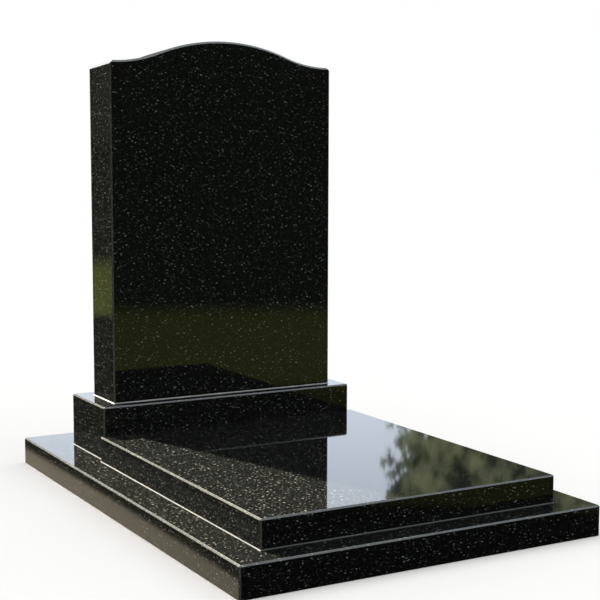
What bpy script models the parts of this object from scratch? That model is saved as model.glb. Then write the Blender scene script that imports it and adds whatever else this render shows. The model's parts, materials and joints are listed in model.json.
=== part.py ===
"""Polished black granite memorial: an upright headstone on a base, with a cover slab lying
in front of the base and one broad bottom slab under both.

Metres, +Z up. The origin is on the ground, under the middle of the bottom slab. The inscription
face of the headstone looks to -Y, over the cover slab. Four stones, each resting on the one below.
"""

import math

import bmesh
import bpy

# Bottom slab, the stone that lies on the ground
SLAB_WIDTH = 1.000
SLAB_LENGTH = 1.445
SLAB_THICKNESS = 0.077

# Cover slab, which lies on the bottom slab in front of the base
COVER_WIDTH = 0.825
COVER_LENGTH = 0.962
COVER_THICKNESS = 0.071
FRONT_LEDGE = 0.072            # how far the bottom slab shows in front of the cover slab

# Base, which stands against the back end of the cover slab
BASE_WIDTH = 0.802
BASE_DEPTH = 0.252
BASE_HEIGHT = 0.152

# Headstone, the upright tablet with an ogee top
HEADSTONE_WIDTH = 0.708
HEADSTONE_THICKNESS = 0.161
HEADSTONE_SETBACK = 0.039      # from the base's front face to the headstone's
SHOULDER_HEIGHT = 0.966        # base top to the flat shoulder, at the front
CROWN_RISE = 0.064             # shoulder to the crown of the ogee
SHOULDER_FLAT = 0.011          # level run at each end of the top, before the curve starts
CROWN_SHARE = 0.60             # share of each half of the curve that the rounded crown takes
TOP_FALL = 0.009               # the top runs down this much to the back, so that rain drains off
CROWN_STEPS = 24               # flats along each half of the crown's arc
SWEEP_STEPS = 16               # flats along each hollow arc beside the crown

# Edges and joints
ARRIS = 0.004                  # chamfer that takes the sharpness off the upright and top edges
TOP_ARRIS = 0.006              # chamfer along the front and back of the headstone's top
END_ARRIS = 0.010              # chamfer across the outer end of each shoulder
FOOT_ARRIS = 0.003             # chamfer round the foot of each stone, filled by its pointing
BED = 0.0003                   # clearance between one stone and the next

GRANITE_COLOUR = (0.008, 0.009, 0.009, 1.0)
LEVEL = 1e-5                   # two heights closer than this are the same


def clear_scene():
    for obj in list(bpy.data.objects):
        bpy.data.objects.remove(obj)


def granite():
    """Polished black granite: nearly black, with a hard bright gloss."""
    material = bpy.data.materials.new("granite_black_polished")
    material.use_nodes = True
    shader = material.node_tree.nodes["Principled BSDF"]
    shader.inputs["Base Color"].default_value = GRANITE_COLOUR
    shader.inputs["Roughness"].default_value = 0.06
    shader.inputs["Metallic"].default_value = 0.0
    return material


def ogee_half():
    """Right half of the headstone's top, from the crown to the shoulder, as (x, z) with z from the shoulder.

    The crown is an arc centred on the middle line. The hollow sweep beside it is tangent to the
    crown at one end and to the level shoulder at the other, which fixes both radii.
    """
    curve_end = HEADSTONE_WIDTH / 2 - SHOULDER_FLAT
    radii = (curve_end ** 2 + CROWN_RISE ** 2) / (2 * CROWN_RISE)
    crown_radius = CROWN_SHARE * radii
    sweep_radius = radii - crown_radius
    turn = math.asin(curve_end / radii)
    points = []
    for step in range(CROWN_STEPS + 1):
        angle = turn * step / CROWN_STEPS
        points.append((crown_radius * math.sin(angle), CROWN_RISE - crown_radius * (1 - math.cos(angle))))
    for step in range(1, SWEEP_STEPS + 1):
        angle = turn * (1 - step / SWEEP_STEPS)
        points.append((curve_end - sweep_radius * math.sin(angle), sweep_radius * (1 - math.cos(angle))))
    points.append((HEADSTONE_WIDTH / 2, 0.0))
    return points


def finish_stone(name, bm, material, arris_of):
    """Turn the sharp-edged block in bm into a named stone whose edges carry their chamfers.

    arris_of gives the chamfer's width for an edge from its two ends, or 0 for an edge left square.
    """
    bmesh.ops.recalc_face_normals(bm, faces=bm.faces)
    weight = bm.edges.layers.float.new("bevel_weight_edge")
    widest = max(ARRIS, TOP_ARRIS, END_ARRIS, FOOT_ARRIS)
    for edge in bm.edges:
        start, end = (vert.co for vert in edge.verts)
        edge[weight] = arris_of(start, end) / widest
    mesh = bpy.data.meshes.new(name)
    bm.to_mesh(mesh)
    bm.free()
    mesh.materials.append(material)
    stone = bpy.data.objects.new(name, mesh)
    bpy.context.scene.collection.objects.link(stone)
    chamfer = stone.modifiers.new("arris", "BEVEL")
    chamfer.limit_method = "WEIGHT"
    chamfer.offset_type = "OFFSET"
    chamfer.width = widest
    chamfer.segments = 1
    chamfer.use_clamp_overlap = False
    return stone


def sawn_block(name, material, size, centre, bottom, foot_arris, butts_at=None):
    """A rectangular stone of the given size, its underside at height bottom.

    butts_at is the y of a back face that stands against another stone. Its top edge stays square,
    so that no groove runs along the joint.
    """
    width, depth, height = size
    bm = bmesh.new()
    bmesh.ops.create_cube(bm, size=1.0)
    bmesh.ops.scale(bm, vec=(width, depth, height), verts=bm.verts)
    bmesh.ops.translate(bm, vec=(centre[0], centre[1], bottom + height / 2), verts=bm.verts)

    def arris_of(start, end):
        if max(start.z, end.z) < bottom + LEVEL:
            return foot_arris
        along_width = abs(start.x - end.x) > LEVEL
        if butts_at is not None and along_width and min(start.y, end.y) > butts_at - LEVEL:
            return 0.0
        return ARRIS

    return finish_stone(name, bm, material, arris_of)


def headstone_tablet(name, material, front, bottom):
    """The upright tablet: its outline is drawn on the front face and carried through to the back."""
    right = ogee_half()
    left = [(-x, z) for x, z in right[1:]]
    shoulder = bottom + SHOULDER_HEIGHT
    outline = [(-HEADSTONE_WIDTH / 2, bottom), (HEADSTONE_WIDTH / 2, bottom)]
    outline += [(x, shoulder + z) for x, z in reversed(right)]
    outline += [(x, shoulder + z) for x, z in left]

    bm = bmesh.new()
    face = bm.faces.new([bm.verts.new((x, front, z)) for x, z in outline])
    back = bmesh.ops.extrude_face_region(bm, geom=[face])
    for vert in back["geom"]:
        if isinstance(vert, bmesh.types.BMVert):
            on_top = vert.co.z > bottom + LEVEL
            vert.co.y += HEADSTONE_THICKNESS
            vert.co.z -= TOP_FALL if on_top else 0.0

    def arris_of(start, end):
        top_end = start.z > bottom + LEVEL and end.z > bottom + LEVEL
        at_side = min(abs(start.x), abs(end.x)) > HEADSTONE_WIDTH / 2 - LEVEL
        along_depth = abs(start.y - end.y) > LEVEL
        if not top_end:
            return FOOT_ARRIS if abs(start.z - end.z) < LEVEL else ARRIS
        if along_depth:
            return END_ARRIS if at_side else 0.0
        return TOP_ARRIS

    return finish_stone(name, bm, material, arris_of)


def build():
    clear_scene()
    material = granite()

    slab_front = -SLAB_LENGTH / 2
    sawn_block("bottom_slab", material, (SLAB_WIDTH, SLAB_LENGTH, SLAB_THICKNESS), (0.0, 0.0), 0.0, 0.0)

    on_slab = SLAB_THICKNESS + BED
    cover_front = slab_front + FRONT_LEDGE
    cover_middle = cover_front + COVER_LENGTH / 2
    cover_back = cover_front + COVER_LENGTH
    sawn_block("cover_slab", material, (COVER_WIDTH, COVER_LENGTH, COVER_THICKNESS),
               (0.0, cover_middle), on_slab, FOOT_ARRIS, butts_at=cover_back)

    base_front = cover_back + BED
    base_middle = base_front + BASE_DEPTH / 2
    sawn_block("base", material, (BASE_WIDTH, BASE_DEPTH, BASE_HEIGHT),
               (0.0, base_middle), on_slab, FOOT_ARRIS)

    on_base = on_slab + BASE_HEIGHT + BED
    headstone_tablet("headstone", material, base_front + HEADSTONE_SETBACK, on_base)


build()
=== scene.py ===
# %% [markdown]
# A polished granite memorial
#
# Four stones lie on one another by their own weight: a broad bottom slab on the ground, a cover slab
# and a base side by side on it, and the upright headstone on the base. All four come from one black
# granite. Its faces are polished to a mirror, the sharp edges are taken off with a narrow honed
# chamfer, called an arris, and the foot of each stone is pointed with a thin line of cement.
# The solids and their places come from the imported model. This file gives them their looks.

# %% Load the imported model
import json
import math
import random

import bmesh
import bpy
from mathutils import Matrix, Vector

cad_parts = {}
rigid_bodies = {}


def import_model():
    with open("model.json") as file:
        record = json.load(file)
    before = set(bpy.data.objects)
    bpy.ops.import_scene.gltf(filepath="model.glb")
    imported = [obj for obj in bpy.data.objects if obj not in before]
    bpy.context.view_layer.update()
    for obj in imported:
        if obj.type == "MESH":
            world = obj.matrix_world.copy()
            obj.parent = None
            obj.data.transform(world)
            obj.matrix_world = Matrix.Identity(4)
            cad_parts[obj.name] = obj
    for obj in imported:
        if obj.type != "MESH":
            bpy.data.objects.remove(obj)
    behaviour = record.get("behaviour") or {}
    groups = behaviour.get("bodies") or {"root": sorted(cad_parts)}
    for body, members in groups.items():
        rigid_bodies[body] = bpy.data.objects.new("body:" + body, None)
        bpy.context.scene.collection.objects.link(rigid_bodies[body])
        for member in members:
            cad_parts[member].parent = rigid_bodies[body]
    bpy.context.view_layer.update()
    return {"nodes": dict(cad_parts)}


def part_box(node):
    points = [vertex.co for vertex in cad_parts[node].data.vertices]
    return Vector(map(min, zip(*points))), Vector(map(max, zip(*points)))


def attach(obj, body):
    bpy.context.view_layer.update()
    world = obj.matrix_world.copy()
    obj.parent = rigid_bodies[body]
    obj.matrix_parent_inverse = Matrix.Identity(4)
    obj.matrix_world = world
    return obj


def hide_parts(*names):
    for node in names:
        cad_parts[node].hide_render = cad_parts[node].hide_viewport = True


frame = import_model()
MM = 0.001
for node_name in frame["nodes"]:
    low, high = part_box(node_name)
    print(node_name, [round((b - a) / MM) for a, b in zip(low, high)], "mm")

# %% [markdown]
# Sizes that the boxes don't give
#
# A box gives a stone's length, width and height. The masons' finer sizes are the chamfers and the
# shape of the headstone's top, and they are the same as in the solids. Only the easing of the
# chamfers' own edges is added here, because it is too fine for a solid and yet catches the light.

# %% Chamfers and the headstone's top
ARRIS = 4 * MM            # upright and top edges, but not where the cover slab meets the base
TOP_ARRIS = 6 * MM        # along the front and back of the headstone's top
END_ARRIS = 10 * MM       # across the outer end of each shoulder
FOOT_ARRIS = 3 * MM       # round the foot, where the pointing sits
EASED = 0.5 * MM          # the polishing pad takes this much off the chamfer's own edges
EASE_OVER = math.radians(25)     # edges between faces that meet at a wider turn than this are eased
CROWN_RISE = 64 * MM
SHOULDER_FLAT = 11 * MM
CROWN_SHARE = 0.60
TOP_FALL = 9 * MM
COLUMNS = 60              # upright strips across the headstone, each wider than END_ARRIS
NEAR = 0.05 * MM          # two places closer than this are the same
SMOOTH_UNDER = math.radians(5)   # only the ogee's strips meet at less, so flat faces stay dead flat
print("chamfers of", [round(width / MM) for width in (ARRIS, TOP_ARRIS, END_ARRIS, FOOT_ARRIS)], "mm")

# %% [markdown]
# Helpers for materials
#
# Colours are written as the eye reads them off a screen, in sRGB hex, but the renderer adds light in
# linear values, so one function turns the first into the second. Another adds a node, fills in its
# settings and makes its links, which keeps each material short enough to read. The last one starts
# a material.

# %% Helpers for materials
def linear(hex_colour):
    parts = [int(hex_colour[i:i + 2], 16) / 255 for i in (1, 3, 5)]
    return tuple(c / 12.92 if c <= 0.04045 else ((c + 0.055) / 1.055) ** 2.4 for c in parts) + (1.0,)


def add(tree, kind, settings=None, links=None):
    node = tree.nodes.new("ShaderNode" + kind)
    for name, value in (settings or {}).items():
        if isinstance(name, str) and hasattr(node, name):
            setattr(node, name, value)
        else:
            node.inputs[name].default_value = value
    for name, socket in (links or {}).items():
        tree.links.new(socket, node.inputs[name])
    return node


def new_material(name):
    """A named material with its tree and its shader."""
    material = bpy.data.materials.new(name)
    material.use_nodes = True
    return material, material.node_tree, material.node_tree.nodes["Principled BSDF"]


print("white in linear light:", linear("#ffffff")[:3])

# %% [markdown]
# What black granite is made of
#
# The trade's black granite is a gabbro: dark pyroxene that looks black when polished, shot through
# with laths of feldspar that catch the light as silver-grey flecks. A lath is about two millimetres wide
# and less than a centimetre long, and lies at any angle. In the shader each layer of laths is a
# Voronoi pattern in stretched and turned coordinates: a small ball round each cell's centre becomes
# a long splinter, and the cell's own random colour decides whether it shows and how bright it is.
# The coordinates are bent by a little noise first, so that no splinter is a clean ellipse.

# %% Crystals of the granite
LATH_LAYERS = [
    # spacing in mm, stretch, half-width as a share of the spacing, share that shows, brightest,
    # turn in degrees
    (7.0, 2.0, 0.25, 0.60, 1.00, (20, 35, 10)),
    (6.0, 2.4, 0.24, 0.60, 0.90, (75, -30, 60)),
    (4.5, 1.6, 0.28, 0.60, 0.55, (-40, 15, 115)),
    (3.0, 1.4, 0.34, 0.65, 0.22, (10, 70, -50)),
]
BEND_SIZE = 2.5 * MM      # the size of the noise that bends the laths
BEND = 1.5 * MM           # and how far it moves them
CORE = 0.55               # share of a lath's half-width inside which it is at its brightest
FEW_BRIGHT = 1.9          # the higher this power, the fewer of the laths are bright


def bent_coordinates(tree):
    place = add(tree, "TexCoord").outputs["Object"]
    noise = add(tree, "TexNoise", {"Scale": 1 / BEND_SIZE, "Detail": 1.0}, {"Vector": place})
    centred = add(tree, "VectorMath", {"operation": "SUBTRACT", 1: (0.5, 0.5, 0.5)},
                  {0: noise.outputs["Color"]})
    moved = add(tree, "VectorMath", {"operation": "SCALE", "Scale": 2 * BEND}, {0: centred.outputs[0]})
    return add(tree, "VectorMath", {"operation": "ADD"}, {0: place, 1: moved.outputs[0]}).outputs[0]


def lath_layer(tree, place, spacing, stretch, half_width, share, brightest, turn):
    """How strongly this layer's laths show at each point, from 0 to 1."""
    step = spacing * MM
    mapping = add(tree, "Mapping", {
        "Rotation": [math.radians(a) for a in turn],
        "Scale": (1 / (step * stretch), 1 / step, 1 / step)}, {"Vector": place})
    cells = add(tree, "TexVoronoi", {"Scale": 1.0, "Randomness": 1.0}, {"Vector": mapping.outputs[0]})
    inside = add(tree, "MapRange", {"interpolation_type": "SMOOTHSTEP", "From Min": half_width,
                                    "From Max": half_width * CORE}, {"Value": cells.outputs["Distance"]})
    luck = add(tree, "SeparateColor", {}, {"Color": cells.outputs["Color"]})
    bright = add(tree, "MapRange", {"From Min": 1 - share, "From Max": 1.0}, {"Value": luck.outputs[0]})
    few_bright = add(tree, "Math", {"operation": "POWER", 1: FEW_BRIGHT}, {0: bright.outputs[0]})
    level = add(tree, "Math", {"operation": "MULTIPLY", 1: brightest}, {0: few_bright.outputs[0]})
    shown = add(tree, "Math", {"operation": "MULTIPLY"}, {0: inside.outputs[0], 1: level.outputs[0]})
    return shown.outputs[0]


def all_laths(tree):
    """The strongest of the lath layers at each point."""
    place = bent_coordinates(tree)
    strongest = None
    for layer in LATH_LAYERS:
        shown = lath_layer(tree, place, *layer)
        if strongest is None:
            strongest = shown
        else:
            strongest = add(tree, "Math", {"operation": "MAXIMUM"}, {0: strongest, 1: shown}).outputs[0]
    return strongest


print(len(LATH_LAYERS), "layers of laths")

# %% [markdown]
# Polished granite
#
# Polishing closes the surface, so light goes in, and the dark pyroxene swallows it: the faces are
# nearly black and what one sees is mostly what they mirror. The mirror is weak seen square on and
# strong seen along the slab, which the shader's Fresnel does by itself at an index of about 1.5.
# The laths split a little as they are ground, so the gloss is a shade duller on them.

# %% Material: polished granite
PYROXENE = "#040404"
PYROXENE_LIGHT = "#0b0c0a"
FELDSPAR = "#62635d"
MOTTLE_SIZE = 7 * MM
ROUGH_PYROXENE, ROUGH_FELDSPAR = 0.03, 0.09


def granite_colours(tree, dark, light, fleck):
    """How strongly the laths show, and the stone's colour: mottled ground with the laths over it."""
    laths = all_laths(tree)
    place = add(tree, "TexCoord").outputs["Object"]
    mottle = add(tree, "TexNoise", {"Scale": 1 / MOTTLE_SIZE, "Detail": 3.0, "Roughness": 0.65},
                 {"Vector": place})
    depth = add(tree, "MapRange", {"From Min": 0.35, "From Max": 0.7}, {"Value": mottle.outputs[0]})
    ground = add(tree, "Mix", {"data_type": "RGBA", 6: linear(dark), 7: linear(light)},
                 {0: depth.outputs[0]})
    colour = add(tree, "Mix", {"data_type": "RGBA", 7: linear(fleck)}, {0: laths, 6: ground.outputs[2]})
    return laths, colour.outputs[2]


def polished_granite():
    material, tree, shader = new_material("granite_black_gabbro_polished")
    laths, colour = granite_colours(tree, PYROXENE, PYROXENE_LIGHT, FELDSPAR)
    tree.links.new(colour, shader.inputs["Base Color"])
    gloss = add(tree, "MapRange", {"To Min": ROUGH_PYROXENE, "To Max": ROUGH_FELDSPAR}, {"Value": laths})
    tree.links.new(gloss.outputs[0], shader.inputs["Roughness"])
    shader.inputs["IOR"].default_value = 1.5
    print("made", material.name)
    return material


polished = polished_granite()

# %% [markdown]
# Honed granite
#
# The chamfers are ground by hand and polished less than the faces. They are a little paler and
# rougher, tilted to the sky, and draw a thin pale line round every face. A fine bump stands for the
# grinding marks.

# %% Material: honed granite
HONED_DARK = "#252624"
HONED_LIGHT = "#363733"
HONED_FLECK = "#6b6c66"
GRIT = 0.8 * MM           # finer in truth, drawn as coarse as it needs to show


def honed_granite():
    material, tree, shader = new_material("granite_black_gabbro_honed")
    laths, colour = granite_colours(tree, HONED_DARK, HONED_LIGHT, HONED_FLECK)
    tree.links.new(colour, shader.inputs["Base Color"])
    place = add(tree, "TexCoord").outputs["Object"]
    grit = add(tree, "TexNoise", {"Scale": 1 / GRIT, "Detail": 2.0}, {"Vector": place})
    bump = add(tree, "Bump", {"Strength": 0.1, "Distance": 0.1 * MM}, {"Height": grit.outputs[0]})
    tree.links.new(bump.outputs[0], shader.inputs["Normal"])
    shader.inputs["Roughness"].default_value = 0.17
    print("made", material.name)
    return material


honed = honed_granite()

# %% [markdown]
# Sawn granite
#
# Nobody sees an underside, so it stays as the saw leaves it: flat, pale grey and covered in faint
# parallel marks a few millimetres apart.

# %% Material: sawn granite
SAWN_DARK = "#5d5e5b"
SAWN_LIGHT = "#74756f"
SAWN_FLECK = "#9a9b94"
SAW_MARK = 6 * MM


def sawn_granite():
    material, tree, shader = new_material("granite_black_gabbro_sawn")
    laths, colour = granite_colours(tree, SAWN_DARK, SAWN_LIGHT, SAWN_FLECK)
    tree.links.new(colour, shader.inputs["Base Color"])
    place = add(tree, "TexCoord").outputs["Object"]
    marks = add(tree, "TexWave", {"Scale": 1 / SAW_MARK / 6, "Distortion": 1.5, "Detail": 2.0},
                {"Vector": place})
    bump = add(tree, "Bump", {"Strength": 0.3, "Distance": 0.4 * MM}, {"Height": marks.outputs[1]})
    tree.links.new(bump.outputs[0], shader.inputs["Normal"])
    shader.inputs["Roughness"].default_value = 0.7
    print("made", material.name)
    return material


sawn = sawn_granite()

# %% [markdown]
# Cement pointing
#
# A line of cement is pushed into the notch under each stone and wiped with a finger. It dries to a
# warm grey with sand in it. The two joints on the bottom slab are much darker: the cover slab's is
# a darker cement, and under the base the same dark colour also stands in as painted shade on the
# base's foot.

# %% Material: cement pointing
SAND = 0.7 * MM
STAIN = 60 * MM


def cement(name, dark, light):
    material, tree, shader = new_material(name)
    place = add(tree, "TexCoord").outputs["Object"]
    sand = add(tree, "TexNoise", {"Scale": 1 / SAND, "Detail": 2.0}, {"Vector": place})
    stain = add(tree, "TexNoise", {"Scale": 1 / STAIN, "Detail": 2.0}, {"Vector": place})
    both = add(tree, "Math", {"operation": "MULTIPLY"}, {0: sand.outputs[0], 1: stain.outputs[0]})
    spread = add(tree, "MapRange", {"From Min": 0.12, "From Max": 0.38}, {"Value": both.outputs[0]})
    colour = add(tree, "Mix", {"data_type": "RGBA", 6: linear(dark), 7: linear(light)},
                 {0: spread.outputs[0]})
    tree.links.new(colour.outputs[2], shader.inputs["Base Color"])
    bump = add(tree, "Bump", {"Strength": 0.6, "Distance": 0.2 * MM}, {"Height": sand.outputs[0]})
    tree.links.new(bump.outputs[0], shader.inputs["Normal"])
    shader.inputs["Roughness"].default_value = 0.85
    return material


pale_cement = cement("cement_pointing_dry", "#686764", "#878682")
# a darker cement for the cover slab's joint, and painted shade for the base's joint
dark_and_shaded_cement = cement("cement_pointing_dark_and_shaded", "#2c2c29", "#3e3e3a")
print("materials:", [m.name for m in bpy.data.materials])

# %% [markdown]
# Helpers for modelling
#
# Every stone starts as a cube set at its size and place and is shaped in edit mode. A rule looks at
# an edge's two ends and gives the width of its chamfer, and one Bevel modifier cuts them all. Then
# each face gets its finish by the way it looks: what looks down is sawn, what looks squarely along
# an axis is polished, and the slanting chamfers are honed.

# %% Helpers for modelling
def start_block(name, low, high):
    """A cube that fills the box from low to high, open in edit mode, with nothing selected."""
    bpy.ops.object.select_all(action="DESELECT")
    bpy.ops.mesh.primitive_cube_add(size=1.0, location=(low + high) / 2, scale=high - low)
    bpy.ops.object.transform_apply(location=True, rotation=True, scale=True)
    block = bpy.context.object
    block.name = name
    bpy.ops.object.mode_set(mode="EDIT")
    bpy.ops.mesh.select_mode(type="EDGE")
    bpy.ops.mesh.select_all(action="DESELECT")
    return block


def chamfer_edges(block, width_of):
    """Chamfer each edge by the width that width_of gives for its two ends.

    All the edges are cut at once, so that chamfers of different widths meet in a clean mitre.
    """
    widest = max(ARRIS, TOP_ARRIS, END_ARRIS, FOOT_ARRIS)
    mesh = bmesh.from_edit_mesh(block.data)
    weight = mesh.edges.layers.float.new("bevel_weight_edge")
    chamfered = 0
    for edge in mesh.edges:
        start, end = (vert.co for vert in edge.verts)
        edge[weight] = width_of(start, end) / widest
        chamfered += edge[weight] > 0
    bmesh.update_edit_mesh(block.data)
    bpy.ops.object.mode_set(mode="OBJECT")
    cut = block.modifiers.new("arris", "BEVEL")
    cut.limit_method = "WEIGHT"
    cut.offset_type = "OFFSET"
    cut.width = widest
    cut.segments = 1
    cut.use_clamp_overlap = False
    bpy.ops.object.modifier_apply(modifier=cut.name)
    print(block.name, chamfered, "edges chamfered")
    bpy.ops.object.mode_set(mode="EDIT")
    mesh = bmesh.from_edit_mesh(block.data)
    mesh.edges.layers.float.remove(mesh.edges.layers.float["bevel_weight_edge"])
    bmesh.update_edit_mesh(block.data)


# %% Finishing a stone
POLISHED, HONED, SAWN = range(3)
STONE_FINISHES = [polished, honed, sawn]
SQUARE_ON = 0.85          # a face whose normal has more than this along one axis is no chamfer


def finish_stone(block, stays_square=None):
    """Give each face its finish, ease the edges that don't stay square, and leave edit mode."""
    mesh = bmesh.from_edit_mesh(block.data)
    for face in mesh.faces:
        along_axis = max(abs(face.normal.x), abs(face.normal.y), abs(face.normal.z))
        face.material_index = POLISHED if along_axis > SQUARE_ON else HONED
        if face.normal.z < -SQUARE_ON:
            face.material_index = SAWN
    bpy.ops.mesh.select_all(action="DESELECT")
    for edge in mesh.edges:
        start, end = (vert.co for vert in edge.verts)
        sharp = edge.calc_face_angle(0.0) > EASE_OVER
        edge.select_set(sharp and not (stays_square and stays_square(start, end)))
    bmesh.update_edit_mesh(block.data)
    bpy.ops.mesh.bevel(offset=EASED, offset_type="OFFSET", segments=2, affect="EDGES",
                       clamp_overlap=False)
    bpy.ops.object.mode_set(mode="OBJECT")
    for finish in STONE_FINISHES:
        block.data.materials.append(finish)
    bpy.ops.object.shade_smooth_by_angle(angle=SMOOTH_UNDER)
    print(block.name, len(block.data.polygons), "faces")
    return block


# %% [markdown]
# The three squared stones
#
# The bottom slab, the cover slab and the base are plain blocks. The edges round the foot get the
# small chamfer that holds the pointing, all the others the larger one. The bottom slab sits on the
# ground, and its lower edges stay square. So does the cover slab's top edge along the base, where a
# chamfer would leave a groove.

# %% Squared stones
def squared_stone(node, foot_arris, meets_base=False):
    """A plain block in the place of the node, with foot_arris taken off the edges round its foot."""
    low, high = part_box(node)
    block = start_block(node + "_dressed", low, high)

    def along_base(a, b):
        at_top = min(a.z, b.z) > high.z - NEAR
        return meets_base and at_top and min(a.y, b.y) > high.y - NEAR

    def arris_of(a, b):
        if max(a.z, b.z) < low.z + NEAR:
            return foot_arris
        return 0.0 if along_base(a, b) else ARRIS

    chamfer_edges(block, arris_of)
    return finish_stone(block, along_base)


bottom_slab = squared_stone("bottom_slab", 0.0)
cover_slab = squared_stone("cover_slab", FOOT_ARRIS, meets_base=True)
base = squared_stone("base", FOOT_ARRIS)

# %% [markdown]
# The headstone
#
# The top is an ogee: a rounded crown in the middle, and on each side a hollow sweep that runs out
# level to the shoulder. Crown and sweep are arcs that meet without a kink. If the crown takes a
# share of the half width, the two radii follow from the rise. The block is cut into upright strips,
# and the top of each strip is lowered to the curve, as a mason saws down to a template.

# %% Height of the ogee over the shoulder
HEAD_LOW, HEAD_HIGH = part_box("headstone")
HEAD_MIDDLE = (HEAD_LOW.z + HEAD_HIGH.z) / 2
HALF_WIDTH = (HEAD_HIGH.x - HEAD_LOW.x) / 2
CURVE_END = HALF_WIDTH - SHOULDER_FLAT
RADII = (CURVE_END ** 2 + CROWN_RISE ** 2) / (2 * CROWN_RISE)
CROWN_RADIUS = CROWN_SHARE * RADII
SWEEP_RADIUS = RADII - CROWN_RADIUS
CROWN_END = CROWN_SHARE * CURVE_END


def ogee(x):
    """Height over the shoulder at a distance x from the middle line."""
    x = abs(x)
    if x <= CROWN_END:
        return CROWN_RISE - CROWN_RADIUS + math.sqrt(CROWN_RADIUS ** 2 - x ** 2)
    if x < CURVE_END:
        return SWEEP_RADIUS - math.sqrt(SWEEP_RADIUS ** 2 - (CURVE_END - x) ** 2)
    return 0.0


print("crown radius", round(CROWN_RADIUS / MM), "mm, sweep radius", round(SWEEP_RADIUS / MM), "mm")


# %% Headstone
def lower_top(block, rule, drop):
    """Lower the vertices of the top that satisfy the rule."""
    bpy.ops.mesh.select_all(action="DESELECT")
    mesh = bmesh.from_edit_mesh(block.data)
    for vert in mesh.verts:
        if vert.co.z > HEAD_MIDDLE and rule(vert.co):
            vert.select_set(True)
    mesh.select_flush_mode()
    bmesh.update_edit_mesh(block.data)
    bpy.ops.transform.translate(value=(0.0, 0.0, -drop))


def ogee_headstone():
    """The headstone as a block whose top follows the ogee, open in edit mode."""
    block = start_block("headstone_dressed", HEAD_LOW, HEAD_HIGH)
    mesh = bmesh.from_edit_mesh(block.data)
    for edge in mesh.edges:
        start, end = (vert.co for vert in edge.verts)
        edge.select_set(abs(start.x - end.x) > NEAR)
    bmesh.update_edit_mesh(block.data)
    bpy.ops.mesh.subdivide(number_cuts=COLUMNS - 1)
    bpy.ops.mesh.select_mode(type="VERT")
    strip = 2 * HALF_WIDTH / COLUMNS
    for column in range(COLUMNS + 1):
        x = -HALF_WIDTH + column * strip
        lower_top(block, lambda place: abs(place.x - x) < strip / 4, CROWN_RISE - ogee(x))
    lower_top(block, lambda place: place.y > HEAD_HIGH.y - NEAR, TOP_FALL)
    bpy.ops.mesh.select_mode(type="EDGE")
    return block


def headstone_arris(a, b):
    """Width of the chamfer on the headstone's edge from a to b."""
    at_side = min(abs(a.x), abs(b.x)) > HALF_WIDTH - NEAR
    on_outline = abs(a.y - b.y) < NEAR
    if max(a.z, b.z) < HEAD_LOW.z + NEAR:
        return FOOT_ARRIS if at_side or on_outline else 0.0
    if min(a.z, b.z) < HEAD_MIDDLE:
        return ARRIS if at_side else 0.0
    if on_outline:
        return TOP_ARRIS
    return END_ARRIS if at_side else 0.0


headstone = ogee_headstone()
chamfer_edges(headstone, headstone_arris)
finish_stone(headstone)

# %% [markdown]
# The pointing
#
# Most of the notch under each stone is filled, and the cement stands a hair proud at the bottom,
# because a finger was drawn along it. A plane is inset and its middle deleted, and the flat ring that
# is left is raised and drawn in at the top. Then it is cut into short lengths, and each length is
# moved a fraction of a millimetre, so that the line isn't ruled.

# %% Pointing
PROUD = 0.5 * MM
FILLED = 0.7              # share of the notch's height that the cement fills
WOBBLE = 0.2 * MM
LENGTH_OF_PIECE = 12 * MM
CLEAR = 0.1 * MM          # from the stone underneath to the cement
SUNK = 2 * CLEAR          # how far the cement reaches into the gap under the stone's foot


def past_faces(place, centre, wide):
    """How far a place lies outside the stone's upright faces, less than 0 under the stone."""
    return max(abs(place.x - centre.x) - wide.x / 2, abs(place.y - centre.y) - wide.y / 2)


def flat_ring(name, centre, wide, foot):
    """A flat ring from proud of the stone's faces to the inner end of the notch, in edit mode."""
    bpy.ops.object.select_all(action="DESELECT")
    bpy.ops.mesh.primitive_plane_add(size=1.0, location=(centre.x, centre.y, foot))
    ring = bpy.context.object
    ring.name = name
    ring.scale = (wide.x + 2 * PROUD, wide.y + 2 * PROUD, 1.0)
    bpy.ops.object.transform_apply(location=True, rotation=True, scale=True)
    bpy.ops.object.mode_set(mode="EDIT")
    bpy.ops.mesh.select_all(action="SELECT")
    bpy.ops.mesh.inset(thickness=PROUD + FOOT_ARRIS - CLEAR, depth=0.0)
    bpy.ops.mesh.delete(type="FACE")
    return ring


def fill_notch(ring, centre, wide, foot):
    """Raise the ring, and lean its outer edge in against the slope of the notch."""
    bpy.ops.mesh.select_all(action="SELECT")
    bpy.ops.mesh.extrude_region_move(TRANSFORM_OT_translate={"value": (0.0, 0.0, SUNK + CLEAR)})
    mesh = bmesh.from_edit_mesh(ring.data)
    rise = FILLED * FOOT_ARRIS
    inward = FOOT_ARRIS - rise + SUNK
    for vert in mesh.verts:
        if past_faces(vert.co, centre, wide) > 0 and vert.co.z > foot + NEAR:
            vert.co.z = foot + rise
            vert.co.x = centre.x + math.copysign(wide.x / 2 - inward, vert.co.x - centre.x)
            vert.co.y = centre.y + math.copysign(wide.y / 2 - inward, vert.co.y - centre.y)
    bmesh.update_edit_mesh(ring.data)
    bpy.ops.mesh.select_all(action="SELECT")
    bpy.ops.mesh.remove_doubles(threshold=0.01 * MM)
    bpy.ops.mesh.normals_make_consistent(inside=False)


def cut_to_lengths(centre, wide):
    """Cut the ring across at even steps, and leave edit mode."""
    for axis in (0, 1):
        pieces = int(wide[axis] / LENGTH_OF_PIECE)
        normal = [0.0, 0.0, 0.0]
        normal[axis] = 1.0
        for piece in range(1, pieces):
            place = [centre.x, centre.y, 0.0]
            place[axis] = centre[axis] - wide[axis] / 2 + wide[axis] * piece / pieces
            bpy.ops.mesh.select_all(action="SELECT")
            bpy.ops.mesh.bisect(plane_co=place, plane_no=normal)
    bpy.ops.object.mode_set(mode="OBJECT")


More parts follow.
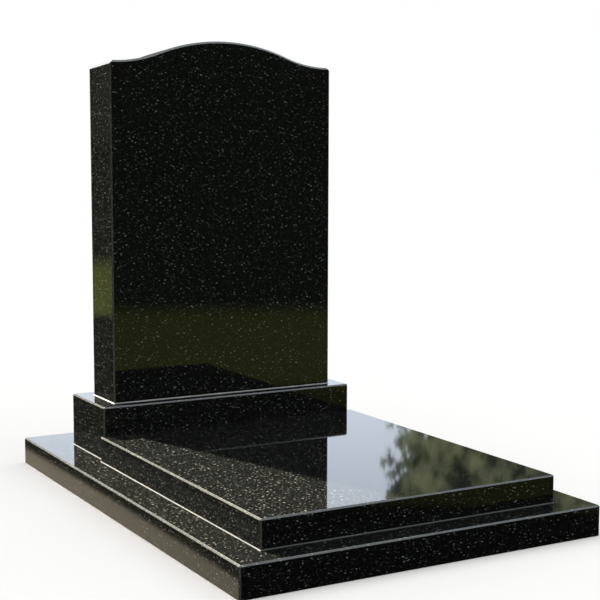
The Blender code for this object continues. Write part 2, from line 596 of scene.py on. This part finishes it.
def unrule(ring, centre, wide, seed):
    """Move each length of the proud edge in or out a little."""
    rng = random.Random(seed)
    for vert in ring.data.vertices:
        if past_faces(vert.co, centre, wide) > 0:
            outward = 1.0 + WOBBLE / PROUD * rng.uniform(-1, 1)
            for axis in (0, 1):
                over = vert.co[axis] - centre[axis]
                if abs(over) > wide[axis] / 2:
                    vert.co[axis] = centre[axis] + math.copysign(wide[axis] / 2 + PROUD * outward, over)


def pointing(name, node, material, seed):
    """The line of cement round the foot of the stone that has this node."""
    low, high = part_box(node)
    centre = (low + high).xy / 2
    wide = (high - low).xy
    foot = low.z - SUNK
    ring = flat_ring(name, centre, wide, foot)
    fill_notch(ring, centre, wide, foot)
    cut_to_lengths(centre, wide)
    unrule(ring, centre, wide, seed)
    ring.data.materials.append(material)
    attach(ring, "root")
    print(name, len(ring.data.polygons), "faces")


pointing("pointing_under_headstone", "headstone", pale_cement, 1)
pointing("pointing_under_cover_slab", "cover_slab", dark_and_shaded_cement, 2)
# painted shade: this dark cement stands in for shade on the base's foot
pointing("pointing_under_base", "base", dark_and_shaded_cement, 3)

# %% [markdown]
# Put the stones on the model
#
# Each dressed stone stands in for the solid of the same name and moves with the one body.

# %% Replace the solids
STONES = {"bottom_slab": bottom_slab, "cover_slab": cover_slab, "base": base, "headstone": headstone}
for node, stone in STONES.items():
    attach(stone, "root")
    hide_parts(node)

# %% [markdown]
# What the stones mirror
#
# A mirror needs something to mirror, and it is the surroundings in its faces that make black granite
# read as polished stone. So a simple churchyard is drawn for mirrored rays. In front of the
# headstone there is a strip of lawn with dark trees over it. Behind it there are pale gravel, a strip
# of lawn, trees, and a gap between the trees with the bright sky in it, which the cover slab mirrors.
# All of it is bands of colour by height over the horizon, with an area laid over them here and there.

# %% Colours and heights of the surroundings
SKY = "#e3edfb"
TREES = "#232722"
LEAVES_DARK = "#20231b"
LEAVES_LIGHT = "#757b5c"
LAWN = "#636b30"
LAWN_IN_SHADE = "#42441c"
GRAVEL = "#9e9581"
SHADE = "#060706"

# Heights over the horizon in degrees, and the colour from each height up to the next
IN_FRONT = [(-30, SHADE), (-15, LAWN_IN_SHADE), (-10, LAWN), (-6.8, TREES), (38, SKY)]
BEHIND = [(-30, SHADE), (-6.9, LAWN), (-4.7, SHADE), (0.3, TREES), (38, SKY)]
LOWEST, HIGHEST = -30, 60
EDGE = 0.15               # degrees that a change of colour takes
print(len(IN_FRONT), "bands in front and", len(BEHIND), "behind")


# %% Bands, areas and ragged edges
def bands(tree, height, heights_and_colours):
    """Colour by height over the horizon, from a list of heights and colours."""
    share = add(tree, "MapRange", {"From Min": math.radians(LOWEST), "From Max": math.radians(HIGHEST)},
                {"Value": height})
    ramp = add(tree, "ValToRGB", {}, {0: share.outputs[0]})
    stops = ramp.color_ramp.elements
    stops[0].position, stops[0].color = 0.0, linear(heights_and_colours[0][1])
    stops[1].position, stops[1].color = 1.0, linear(heights_and_colours[-1][1])
    for (_, below), (start, above) in zip(heights_and_colours, heights_and_colours[1:]):
        for colour, place in ((below, start - EDGE / 2), (above, start + EDGE / 2)):
            stops.new((place - LOWEST) / (HIGHEST - LOWEST)).color = linear(colour)
    return ramp.outputs[0]


BRANCHES = 28             # the higher, the smaller the bays in the trees' outline
RAGGED = 2.8              # degrees that the outline wanders


def between(tree, angle, start, end):
    """1 where the angle lies between start and end, given in degrees, and 0 elsewhere."""
    past_start = add(tree, "MapRange", {"From Min": math.radians(start - EDGE / 2),
                                        "From Max": math.radians(start + EDGE / 2)}, {"Value": angle})
    before_end = add(tree, "MapRange", {"From Min": math.radians(end + EDGE / 2),
                                        "From Max": math.radians(end - EDGE / 2)}, {"Value": angle})
    both = add(tree, "Math", {"operation": "MULTIPLY"},
               {0: past_start.outputs[0], 1: before_end.outputs[0]})
    return both.outputs[0]


def wander(tree, angle, direction):
    """The angle moved up and down by noise, to make an outline ragged."""
    noise = add(tree, "TexNoise", {"Scale": BRANCHES, "Detail": 8.0, "Roughness": 0.74},
                {"Vector": direction})
    shift = add(tree, "MapRange", {"From Min": 0.25, "From Max": 0.75, "To Min": -math.radians(RAGGED),
                                   "To Max": math.radians(RAGGED)}, {"Value": noise.outputs[0]})
    return add(tree, "Math", {"operation": "ADD"}, {0: angle, 1: shift.outputs[0]}).outputs[0]


def plain(tree, hex_colour):
    """The same colour in every direction."""
    node = add(tree, "RGB")
    node.outputs[0].default_value = linear(hex_colour)
    return node.outputs[0]


# %% The churchyard
GAP_FROM, GAP_TO = 6, 33.8       # degrees from straight behind the headstone to its right
GAP_FOOT = 9              # height of the trees' tops in the gap
LEAVES_TO = 80            # how far round the sunlit trees beside the gap reach
TREETOPS = 32
TWIGS = 60                # the higher, the smaller the clumps of leaves
# The gravel lies to the left, down from an edge that starts at the first height where it is seen at
# the first turn, and that rises by a share of each degree nearer to straight behind.
GRAVEL_HEIGHT, GRAVEL_TURN, GRAVEL_SLOPE = -14.5, -20.8, 0.63
GRAVEL_FROM, GRAVEL_DOWN_TO = -85, -90


def churchyard(tree, direction):
    """Colour of the surroundings in a direction."""
    axes = add(tree, "SeparateXYZ", {}, {0: direction})
    height = add(tree, "Math", {"operation": "ARCSINE"}, {0: axes.outputs[2]}).outputs[0]
    round_about = add(tree, "Math", {"operation": "ARCTAN2"},
                      {0: axes.outputs[0], 1: axes.outputs[1]}).outputs[0]
    front_or_back = add(tree, "MapRange", {"From Min": -0.15, "From Max": 0.15},
                        {"Value": axes.outputs[1]})
    colour = add(tree, "Mix", {"data_type": "RGBA"}, {
        0: front_or_back.outputs[0], 6: bands(tree, height, IN_FRONT),
        7: bands(tree, height, BEHIND)}).outputs[2]
    ragged_turn = wander(tree, round_about, direction)
    ragged_height = wander(tree, height, direction)
    foliage = add(tree, "TexNoise", {"Scale": TWIGS, "Detail": 5.0, "Roughness": 0.65},
                  {"Vector": direction})
    light = add(tree, "MapRange", {"From Min": 0.40, "From Max": 0.64}, {"Value": foliage.outputs[0]})
    leaves = add(tree, "Mix", {"data_type": "RGBA", 6: linear(LEAVES_DARK), 7: linear(LEAVES_LIGHT)},
                 {0: light.outputs[0]}).outputs[2]
    along_edge = add(tree, "Math", {"operation": "MULTIPLY_ADD", 1: -GRAVEL_SLOPE,
                                    2: math.radians(GRAVEL_SLOPE * GRAVEL_TURN)}, {0: round_about})
    from_edge = add(tree, "Math", {"operation": "ADD"}, {0: height, 1: along_edge.outputs[0]}).outputs[0]
    areas = [
        # colour, angle to the side with its start and end, angle up with its start and end
        (plain(tree, GRAVEL), round_about, GRAVEL_FROM, 0, from_edge, GRAVEL_DOWN_TO, GRAVEL_HEIGHT),
        (leaves, ragged_turn, GAP_TO, LEAVES_TO, ragged_height, 0, TREETOPS),
        (plain(tree, SKY), ragged_turn, GAP_FROM, GAP_TO, ragged_height, GAP_FOOT, HIGHEST),
    ]
    for area, turn, start, end, up, foot, top in areas:
        here = add(tree, "Math", {"operation": "MULTIPLY"}, {0: between(tree, turn, start, end),
                                                             1: between(tree, up, foot, top)})
        colour = add(tree, "Mix", {"data_type": "RGBA"},
                     {0: here.outputs[0], 6: colour, 7: area}).outputs[2]
    return colour


# %% [markdown]
# The soft light
#
# What isn't mirrored is lit softly. Outdoors most of that light comes down from the sky and little
# comes up from a lawn, so level faces are lighter than upright ones even in shade. The same is done
# here: one strength overhead, a weaker one at the horizon, and a weak one from below.

# %% Soft light
SOFT_ABOVE = "#f4f9ff"
SOFT_LEVEL = "#6f7375"
SOFT_BELOW = "#33352f"


def soft_light(tree, direction):
    """Soft light, strongest from overhead, weaker from the side and weakest from the ground."""
    up = add(tree, "SeparateXYZ", {}, {0: direction}).outputs[2]
    overhead = add(tree, "MapRange", {"From Min": 0.0, "From Max": 1.0}, {"Value": up})
    below = add(tree, "Math", {"operation": "LESS_THAN", 1: 0.0}, {0: up})
    above = add(tree, "Mix", {"data_type": "RGBA", 6: linear(SOFT_LEVEL), 7: linear(SOFT_ABOVE)},
                {0: overhead.outputs[0]})
    return add(tree, "Mix", {"data_type": "RGBA", 7: linear(SOFT_BELOW)},
               {0: below.outputs[0], 6: above.outputs[2]}).outputs[2]


# %% [markdown]
# The world
#
# The world is drawn three ways, by the kind of ray that reaches it: plain white behind the picture,
# the churchyard for mirrored rays, and the soft light for all others.

# %% World
SKY_LIGHT = 2.1           # how much brighter than white paper the sky is, the rest in proportion
STUDIO_LIGHT = 3.45       # the same for the soft light from overhead

world = bpy.data.worlds.new("studio")
bpy.context.scene.world = world
world.use_nodes = True
tree = world.node_tree
tree.nodes.clear()
rays = add(tree, "LightPath")
seen = add(tree, "TexCoord").outputs["Generated"]
mirrored = add(tree, "Background", {"Strength": SKY_LIGHT}, {"Color": churchyard(tree, seen)})
soft = add(tree, "Background", {"Strength": STUDIO_LIGHT}, {"Color": soft_light(tree, seen)})
behind = add(tree, "Background", {"Color": (1, 1, 1, 1), "Strength": 1.0})
lit = add(tree, "MixShader", {}, {
    0: rays.outputs["Is Glossy Ray"], 1: soft.outputs[0], 2: mirrored.outputs[0]})
shown = add(tree, "MixShader", {}, {
    0: rays.outputs["Is Camera Ray"], 1: lit.outputs[0], 2: behind.outputs[0]})
add(tree, "OutputWorld", {}, {0: shown.outputs[0]})
print(len(tree.nodes), "nodes in the world")

# %% [markdown]
# The floor
#
# The floor is seen, but is neither mirrored nor lights the stones, because white ground would wash
# the black out. It is plaster of a light grey, which the light from overhead brings up to white.

# %% Floor
FLOOR_SIZE = 60.0
FLOOR_DARK = "#b1ada8"
FLOOR_LIGHT = "#b5b1ac"
CLOUDS = 1.5              # the floor's shade changes slowly, about this many times in a metre


def pale_floor():
    material, tree, shader = new_material("floor_matt_plaster")
    place = add(tree, "TexCoord").outputs["Object"]
    cloud = add(tree, "TexNoise", {"Scale": CLOUDS, "Detail": 2.0}, {"Vector": place})
    colour = add(tree, "Mix", {"data_type": "RGBA", 6: linear(FLOOR_DARK), 7: linear(FLOOR_LIGHT)},
                 {0: cloud.outputs[0]})
    tree.links.new(colour.outputs[2], shader.inputs["Base Color"])
    shader.inputs["Roughness"].default_value = 0.9
    shader.inputs["Specular IOR Level"].default_value = 0.1
    bpy.ops.object.select_all(action="DESELECT")
    bpy.ops.mesh.primitive_plane_add(size=FLOOR_SIZE, location=(0.0, 0.0, -0.5 * MM))
    floor = bpy.context.object
    floor.name = "floor"
    floor.data.materials.append(material)
    floor.visible_glossy = False
    floor.visible_diffuse = False
    print("floor", FLOOR_SIZE, "m across")
    return floor


floor = pale_floor()

# %% [markdown]
# The sun
#
# The sun stands behind the headstone, a little to its left. It brings out the grain on the level
# faces and throws the headstone's shadow over the cover slab. Granite this dark sends so little light
# back that the sun has to be strong, and it is linked to the stones alone, or it would burn out the
# floor.

# %% Sun
SUN_BEHIND = 17           # degrees from straight behind the headstone towards its left
SUN_HEIGHT = 44           # degrees over the horizon
SUN_LIGHT = 54.0
SUN_COLOUR = "#fff6e8"
SUN_SOFTNESS = 1.5        # degrees across

sun_data = bpy.data.lights.new("sun", "SUN")
sun_data.energy = SUN_LIGHT
sun_data.angle = math.radians(SUN_SOFTNESS)
sun_data.color = linear(SUN_COLOUR)[:3]
sun = bpy.data.objects.new("sun", sun_data)
bpy.context.scene.collection.objects.link(sun)
across = math.cos(math.radians(SUN_HEIGHT))
towards_sun = Vector((-across * math.sin(math.radians(SUN_BEHIND)),
                      across * math.cos(math.radians(SUN_BEHIND)),
                      math.sin(math.radians(SUN_HEIGHT))))
sun.rotation_euler = towards_sun.to_track_quat("Z", "Y").to_euler()
sunlit = bpy.data.collections.new("sunlit")
for thing in bpy.data.objects:
    if thing.type == "MESH" and thing is not floor:
        sunlit.objects.link(thing)
sun.light_linking.receiver_collection = sunlit
print("sun from", [round(c, 2) for c in towards_sun])

# %% [markdown]
# Camera
#
# The photograph was taken from about 3.7 m away at waist height, from the left of the grave's foot.
# These values come from fitting a camera to the stones' edges in the picture.

# %% Camera
CAMERA_PLACE = (-1.727, -3.146, 0.943)
CAMERA_YAW = 29.51        # degrees clockwise from +Y, seen from above
CAMERA_PITCH = -6.37
CAMERA_ROLL = 0.13
LENS = 79.7

camera_data = bpy.data.cameras.new("camera")
camera_data.lens = LENS
camera_data.sensor_width = 36.0
camera = bpy.data.objects.new("camera", camera_data)
bpy.context.scene.collection.objects.link(camera)
yaw = Matrix.Rotation(math.radians(-CAMERA_YAW), 4, "Z")
pitch = Matrix.Rotation(math.radians(90 + CAMERA_PITCH), 4, "X")
roll = Matrix.Rotation(math.radians(CAMERA_ROLL), 4, "Z")
camera.matrix_world = Matrix.Translation(CAMERA_PLACE) @ yaw @ pitch @ roll
bpy.context.scene.camera = camera
bpy.context.scene.view_settings.view_transform = "Standard"
print("camera", round(Vector(CAMERA_PLACE).length, 2), "m from the middle of the bottom slab's foot")
